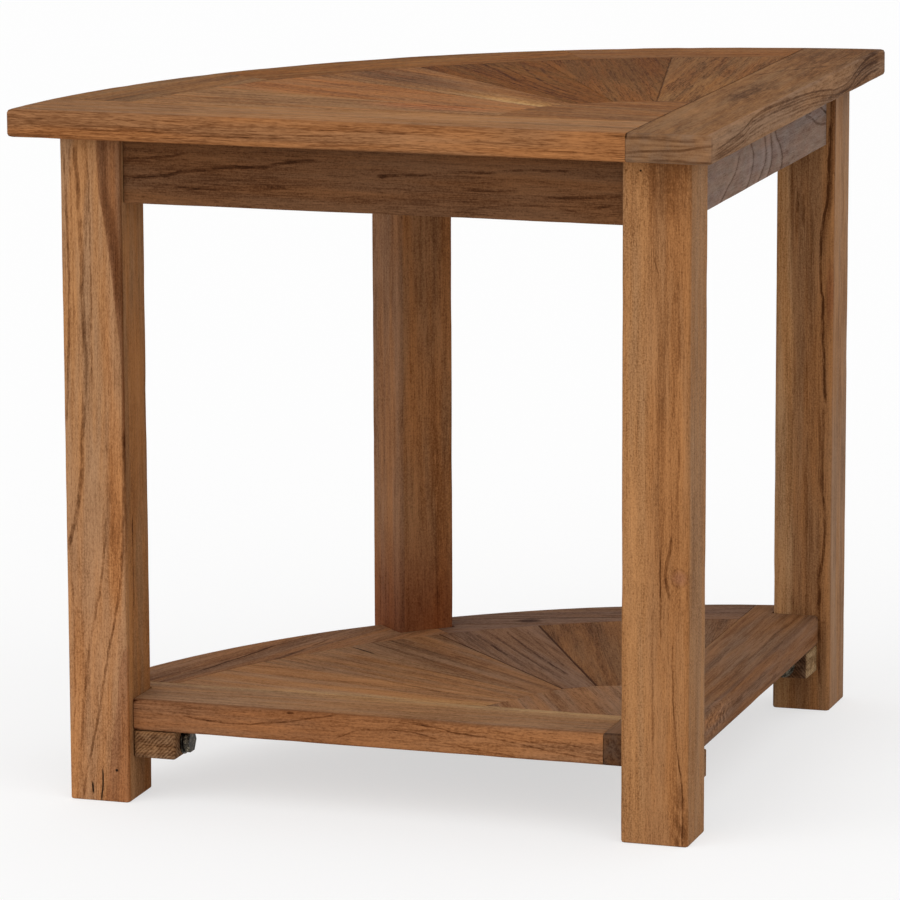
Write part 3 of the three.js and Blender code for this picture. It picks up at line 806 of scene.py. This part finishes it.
def mark_shelf_front(wood):
    """Orange on its edge, with long curved veins, and pale along its inner seam."""
    edge = Face(wood.along, wood.below, wood.across + SHELF_BOARD, 4)
    rightwards = wood.along.fall(60, 260)
    wood.tint(edge.near * (1 - rightwards), (130, 86, 55))
    wood.tint(edge.near * rightwards, (142, 97, 63))
    inner = (-1 * wood.across).fall(2, 9 + 0.04 * (400 - wood.along)) * (1 - edge.near)
    wood.tint((0.5 + 0.4 * rightwards) * inner, (172, 134, 92))
    wood.lines(edge, (
        (0.7, 0.30, [(215, 0.5), (240, 5.5), (257, 9.2), (277, 11.8), (294, 13.3), (312, 13.5), (329, 12.1),
                     (345, 10)]),
        (0.6, 0.22, [(127, 17.5), (146, 11.2), (155, 10.2), (172, 9.6), (184, 10.2), (196, 11.3), (209, 15.8),
                     (221, 21.8)]),
        (0.6, 0.22, [(0, 21.6), (50, 15.7), (86, 10.4), (116, 8), (134, 4.8), (155, 3)]),
        (0.6, 0.18, [(70, 23.5), (103, 19.7), (131, 16)]),
        (0.5, 0.16, [(-8, 14), (20, 11.5), (60, 7), (96, 3.4)]),
        (0.5, 0.15, [(-8, 18), (30, 14.5), (70, 9.6), (110, 5)]),
        (0.5, 0.16, [(350, 18), (380, 14), (420, 12)]),
    ))
    wood.shade(edge.oval((254, 1.8), (3, 0.9), 0.5), 0.36)


def mark_shelf_right(wood):
    """Purple-brown, with a rough dark front end and pale worn flecks on its side."""
    side = Face(wood.along, wood.below, SHELF_BOARD - wood.across, 5)
    end = Face(wood.across, wood.below, wood.along + SHELF_BOARD, 4)
    wood.tint(side.near * (1 - end.near), (120, 85, 60))
    worn = side.oval((50, 9), (40, 11), 0.4) * (wood.blotches(3.4, 1.6) - 0.35)
    wood.shade(worn, -0.7)
    wood.tint(end.near, (86, 60, 42))
    wood.shade(end.near * (wood.blotches(4) - 0.5), 0.3)


def mark_shelf_band_left(wood):
    """A long thin crack that follows the band."""
    top = wood.outer()
    wood.lines(top, (
        (1.2, 0.40, [(-10, 369.4), (15, 366.3), (54, 361.6), (96, 357.8)]),
        (1.2, 0.26, [(-60, 352), (-10, 342), (60, 332)]),
    ))


def mark_shelf_band_right(wood):
    """Dark streaks and one small knot."""
    top = wood.outer()
    wood.shade(top.oval((56, 332), (9, 6), 0.5), 0.4)
    wood.lines(top, ((1.6, 0.24, [(-90, 334), (-20, 340), (60, 341), (130, 336)]),))


def mark_shelf_ray_1(wood):
    """Pale beside the front board, and a faint brown curve."""
    top = wood.outer()
    seam = wood.across + 0.1317 * wood.along
    wood.tint(0.8 * seam.fall(5, 12) * wood.along.fall(240, 330), (168, 128, 86))
    wood.lines(top, ((2.4, 0.18, [(160, 12), (209, 26), (237, 36), (269, 44), (300, 46)]),))


def mark_shelf_ray_2(wood):
    """A short open crack at its outer end."""
    top = wood.outer()
    wood.split(top.line([(286, 34.3), (302, 38), (319, 42)], 1.0, 0.8, 5))


def mark_shelf_ray_4(wood):
    """An open joint on its left, and dark streaks that run out from the centre."""
    top = wood.outer()
    wood.shade((wood.across + 0.1405 * wood.along).fall(0.6, 1.8) * top.near, 0.4)
    wood.lines(top, (
        (1.4, 0.30, [(220, -15), (257, -16), (306, -14)]),
        (1.1, 0.32, [(138, 6.8), (194, 6.8), (254, 8.7), (306, 13)]),
        (1.1, 0.18, [(130, -2), (200, -4), (290, -2)]),
        (1.0, 0.18, [(170, 14), (230, 20), (300, 28)]),
    ))


def mark_shelf_ray_5(wood):
    """An open joint on its left."""
    wood.shade((wood.across + 0.1317 * wood.along).fall(0.8, 2.2), 0.6)


def mark_shelf_centre(wood):
    """A crack across its left corner."""
    along = 0.5 * wood.along - 0.866 * wood.across
    across = 0.866 * wood.along + 0.5 * wood.across
    top = Face(across, along, wood.below)
    wood.lines(top, ((1.6, 0.4, [(-4, 118), (3, 112), (24, 105), (36, 98)]),))


GRAIN = {
    "top": {"streaks": 0.75, "fibres": 0.9, "specks": 0.9, "fineness": 0.9, "speckle": (0.25, 0.6)},
    "shelf": {"streaks": 0.55, "fibres": 0.7, "specks": 0.7, "fineness": 1.2, "speckle": (0.35, 0.8)},
}

TOP = {
    "front_board": {
        "tone": (154, 111, 73), "angle": 0, "marks": mark_top_front,
        "grain": {"spacing": 12, "rings": 0.1, "warmth": 0.5, "pith": (-10, 70), "specks": 0.75,
                  "fibres": 0.8, "fineness": 1.4, "speckle": (0.12, 1.3), "streaks": 0.6},
    },
    "right_board": {
        "tone": (126, 89, 56), "angle": 90, "marks": mark_top_right,
        "grain": {"spacing": 12, "rings": 0.1, "warmth": 0.4, "pith": (20, 120), "specks": 0.5,
                  "fibres": 0.55, "streaks": 0.5},
    },
    "band_left": {
        "tone": (125, 87, 53), "angle": -72, "marks": mark_top_band_left, "grain": {"spacing": 12},
    },
    "band_middle": {"tone": (125, 80, 40), "angle": -45, "grain": {"spacing": 12}},
    "band_right": {"tone": (128, 84, 47), "angle": -18, "grain": {"spacing": 12}},
    "ray_1": {"tone": (147, 103, 64), "angle": 7.5, "marks": mark_top_ray_1, "grain": {"spacing": 9}},
    "ray_2": {"tone": (146, 96, 56), "angle": 22.5, "marks": mark_top_ray_2, "grain": {"spacing": 10}},
    "ray_3": {"tone": (133, 90, 54), "angle": 37.5, "marks": mark_top_ray_3, "grain": {"spacing": 10}},
    "ray_4": {"tone": (112, 68, 27), "angle": 53, "marks": mark_top_ray_4, "grain": {"spacing": 8}},
    "ray_5": {"tone": (100, 60, 25), "angle": 69, "marks": mark_top_ray_5, "grain": {"spacing": 10}},
    "ray_6": {
        "tone": (118, 78, 43), "angle": 83.5, "marks": mark_top_ray_6,
        "grain": {"spacing": 14, "rings": 0.22, "pith": (0, 90)},
    },
    "fan_centre": {"tone": (130, 87, 51), "angle": 8, "grain": {"spacing": 12}},
}

SHELF = {
    "front_board": {
        "tone": (149, 110, 77), "angle": 0, "marks": mark_shelf_front,
        "grain": {"spacing": 30, "rings": 0.05, "bands": 0.2, "warmth": 0.5, "pith": (0, 90)},
    },
    "right_board": {
        "tone": (132, 96, 68), "angle": 90, "marks": mark_shelf_right,
        "grain": {"spacing": 10, "specks": 0.4, "fibres": 0.5, "warmth": 0.8},
    },
    "band_left": {
        "tone": (137, 97, 67), "angle": -68, "marks": mark_shelf_band_left,
        "grain": {"spacing": 9, "warmth": 0.6},
    },
    "band_right": {
        "tone": (121, 90, 70), "angle": -20, "marks": mark_shelf_band_right,
        "grain": {"spacing": 8, "warmth": 0.4},
    },
    "ray_1": {"tone": (157, 113, 76), "angle": 7.5, "marks": mark_shelf_ray_1, "grain": {"spacing": 12}},
    "ray_2": {"tone": (147, 106, 72), "angle": 22.5, "marks": mark_shelf_ray_2, "grain": {"spacing": 12}},
    "ray_3": {"tone": (135, 97, 67), "angle": 37.5, "grain": {"spacing": 10, "streaks": 0.7}},
    "ray_4": {
        "tone": (124, 91, 68), "angle": 53, "marks": mark_shelf_ray_4,
        "grain": {"spacing": 8, "streaks": 0.8, "warmth": 0.4},
    },
    "ray_5": {
        "tone": (126, 86, 53), "angle": 68.5, "marks": mark_shelf_ray_5,
        "grain": {"spacing": 14, "warmth": 0.4},
    },
    "ray_6": {"tone": (124, 89, 62), "angle": 83, "grain": {"spacing": 10}},
    "fan_centre": {"tone": (139, 100, 70), "angle": 60, "marks": mark_shelf_centre, "grain": {"spacing": 12}},
}


def make_panel(panel, parts):
    """All boards of a panel, each with its own grain along its length."""
    apex = panel_apex(panel)
    for part, teak in parts.items():
        name = f"{panel}_{part}"
        wood = Timber(name, apex, plan_axes(teak["angle"]), teak["tone"])
        wood.grow(**{**GRAIN[panel], **teak["grain"]})
        if "marks" in teak:
            teak["marks"](wood)
        straight = {"front_board": X_AXIS, "right_board": Y_AXIS}.get(part)
        if part.startswith("band"):
            straight = X_AXIS
        piece = wooden(name, wood.finished(), ease=0.2, along=straight)


# Cleats

CLEATS = {
    "corner": {"tone": (129, 96, 67), "turn": 90},
    "left": {"tone": (131, 98, 69), "turn": 0},
    # The right cleat's darker tone is painted shade: it sits in the shade under the shelf
    "right": {"tone": (104, 76, 54), "turn": 90},
    "back": {"tone": (129, 96, 67), "turn": 45},
}


def mark_cleat(wood):
    """Slanting saw marks, which lean back on the piece's ends."""
    pitch = 3.2
    slant = (wood.along - wood.below + wood.across) / pitch + 0.5 * wood.blotches(9)
    kerf = abs(slant.math("FRACT") - 0.5).fall(0.05, 0.4)
    wood.shade(kerf * (0.5 + 0.8 * wood.blotches(4)), 0.26)
    wood.shade(wood.blotches(6) - 0.5, 0.26)


def make_cleats():
    for side, cleat in CLEATS.items():
        name = side + "_cleat"
        low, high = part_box(name)
        wood = Timber(name, Vector((low.x, low.y, high.z)), plan_axes(cleat["turn"]), cleat["tone"])
        wood.grow(spacing=6, rings=0.2)
        mark_cleat(wood)
        if side == "right":
            # Its side on the table's right is paler
            width = (high.x - low.x) / MM
            wood.tint(wood.across.rise(width - 1.5, width - 0.8), (150, 120, 84))
        piece = wooden(name, wood.finished(), ease=0.3, wear=0.9)


# Steel

# Steps from the thickest grime and painted shade to bare plating in a painted warm highlight, with linear
# colours
STEEL_STOPS = (
    (0.42, (0.014, 0.012, 0.009, 1)),
    (0.53, (0.07, 0.06, 0.045, 1)),
    (0.66, (0.36, 0.31, 0.22, 1)),
)
STEEL_RELIEF = 0.05 * MM


def plated_steel():
    """Plated steel, darkened by grime and painted shade, with painted warm highlights, and speckled."""
    finish = Finish(bpy.data.materials.new("plated_steel"))
    place = finish.node("TexCoord", None, None, "Object")
    # Noise for grime, and for painted shade and painted warm highlights on the steel
    grime_and_painted_light = finish.noise(place, (260, 260, 260), 3.0, 0.6, 5.0)
    speck = finish.noise(place, (1400, 1400, 1400), 2.0, 0.5, 9.0)
    colour = finish.node("ValToRGB", {"stops": STEEL_STOPS}, {0: 0.6 * grime_and_painted_light + 0.4 * speck})
    roughness = 0.32 + 0.3 * grime_and_painted_light
    finish.surface({"Base Color": colour, "Roughness": roughness, "Metallic": 1.0}, speck, STEEL_RELIEF)
    return finish.owner


def make_fasteners():
    """Every bolt, washer and screw, in one steel."""
    steel = plated_steel()
    for name in nodes:
        if name.endswith(("_bolt", "_washer")) or "_screw" in name:
            mesh = eased(name, angle=50, length=1.2, ease=0.35, clamp=True)
            placed(name, mesh, steel)


# Stage, light and camera

# How far the picture's floor is lifted to white: the rest of it shows the object's shadow
FLOOR_LIFT = 0.6
# Metres from the table to the floor's edges
FLOOR_REACH = 60
PAPER = (0.97, 0.97, 0.97, 1)
AMBIENT = 0.74


def make_stage():
    """A pale floor that the picture shows nearly white, with the table's shadow on it."""
    mesh = bmesh.new()
    bmesh.ops.create_grid(mesh, x_segments=1, y_segments=1, size=FLOOR_REACH)
    data = bpy.data.meshes.new("studio_floor")
    mesh.to_mesh(data)
    mesh.free()
    floor = bpy.data.objects.new("studio_floor", data)
    bpy.context.scene.collection.objects.link(floor)
    finish = Finish(bpy.data.materials.new("pale_floor"))
    paper = {"Base Color": PAPER, "Roughness": 1.0, "Specular IOR Level": 0.0}
    shaded = finish.node("BsdfPrincipled", None, paper)
    white = finish.node("Emission", None, {"Strength": 1.0})
    finish.show(finish.node("MixShader", None, {0: FLOOR_LIFT * finish.seen(), 1: shaded, 2: white}))
    data.materials.append(finish.owner)


def make_sun(name, azimuth, elevation, strength, spread):
    """A wide soft lamp. Azimuth 0 shines from the front, 90 from the right."""
    light = bpy.data.lights.new(name, "SUN")
    light.energy = strength
    light.angle = math.radians(spread)
    lamp = bpy.data.objects.new(name, light)
    turn = math.radians(azimuth)
    rise = math.radians(elevation)
    source = Vector((math.sin(turn) * math.cos(rise), -math.cos(turn) * math.cos(rise), math.sin(rise)))
    lamp.rotation_euler = source.to_track_quat("Z", "Y").to_euler()
    bpy.context.scene.collection.objects.link(lamp)


def make_light():
    """Two wide lamps, and a world that lights the table less than the white it shows."""
    make_sun("key_light", azimuth=-30, elevation=28, strength=1.1, spread=60)
    make_sun("fill_light", azimuth=60, elevation=35, strength=0.5, spread=60)
    finish = Finish(bpy.data.worlds.new("studio"))
    ambient = finish.node("Background", None, {"Color": WHITE, "Strength": AMBIENT})
    white = finish.node("Background", None, {"Color": WHITE, "Strength": 1.0})
    finish.show(finish.node("MixShader", None, {0: finish.seen(), 1: ambient, 2: white}), "OutputWorld")
    bpy.context.scene.world = finish.owner


def make_camera():
    data = bpy.data.cameras.new("camera")
    data.lens = CAMERA_LENS
    data.sensor_width = CAMERA_SENSOR
    data.clip_start = 0.1
    data.clip_end = 200
    camera = bpy.data.objects.new("camera", data)
    turn = Matrix.Rotation(CAMERA_TURN, 4, "Z") @ Matrix.Rotation(math.pi / 2 - CAMERA_PITCH, 4, "X")
    camera.matrix_world = (
        Matrix.Translation(CAMERA_PLACE) @ turn @ Matrix.Rotation(CAMERA_ROLL, 4, "Z")
    )
    bpy.context.scene.collection.objects.link(camera)
    bpy.context.scene.camera = camera


make_camera()
make_stage()
make_light()
make_legs()
make_rails()
make_panel("top", TOP)
make_panel("shelf", SHELF)
make_cleats()
make_fasteners()

bpy.context.scene.view_settings.view_transform = "Standard"
bpy.context.view_layer.update()
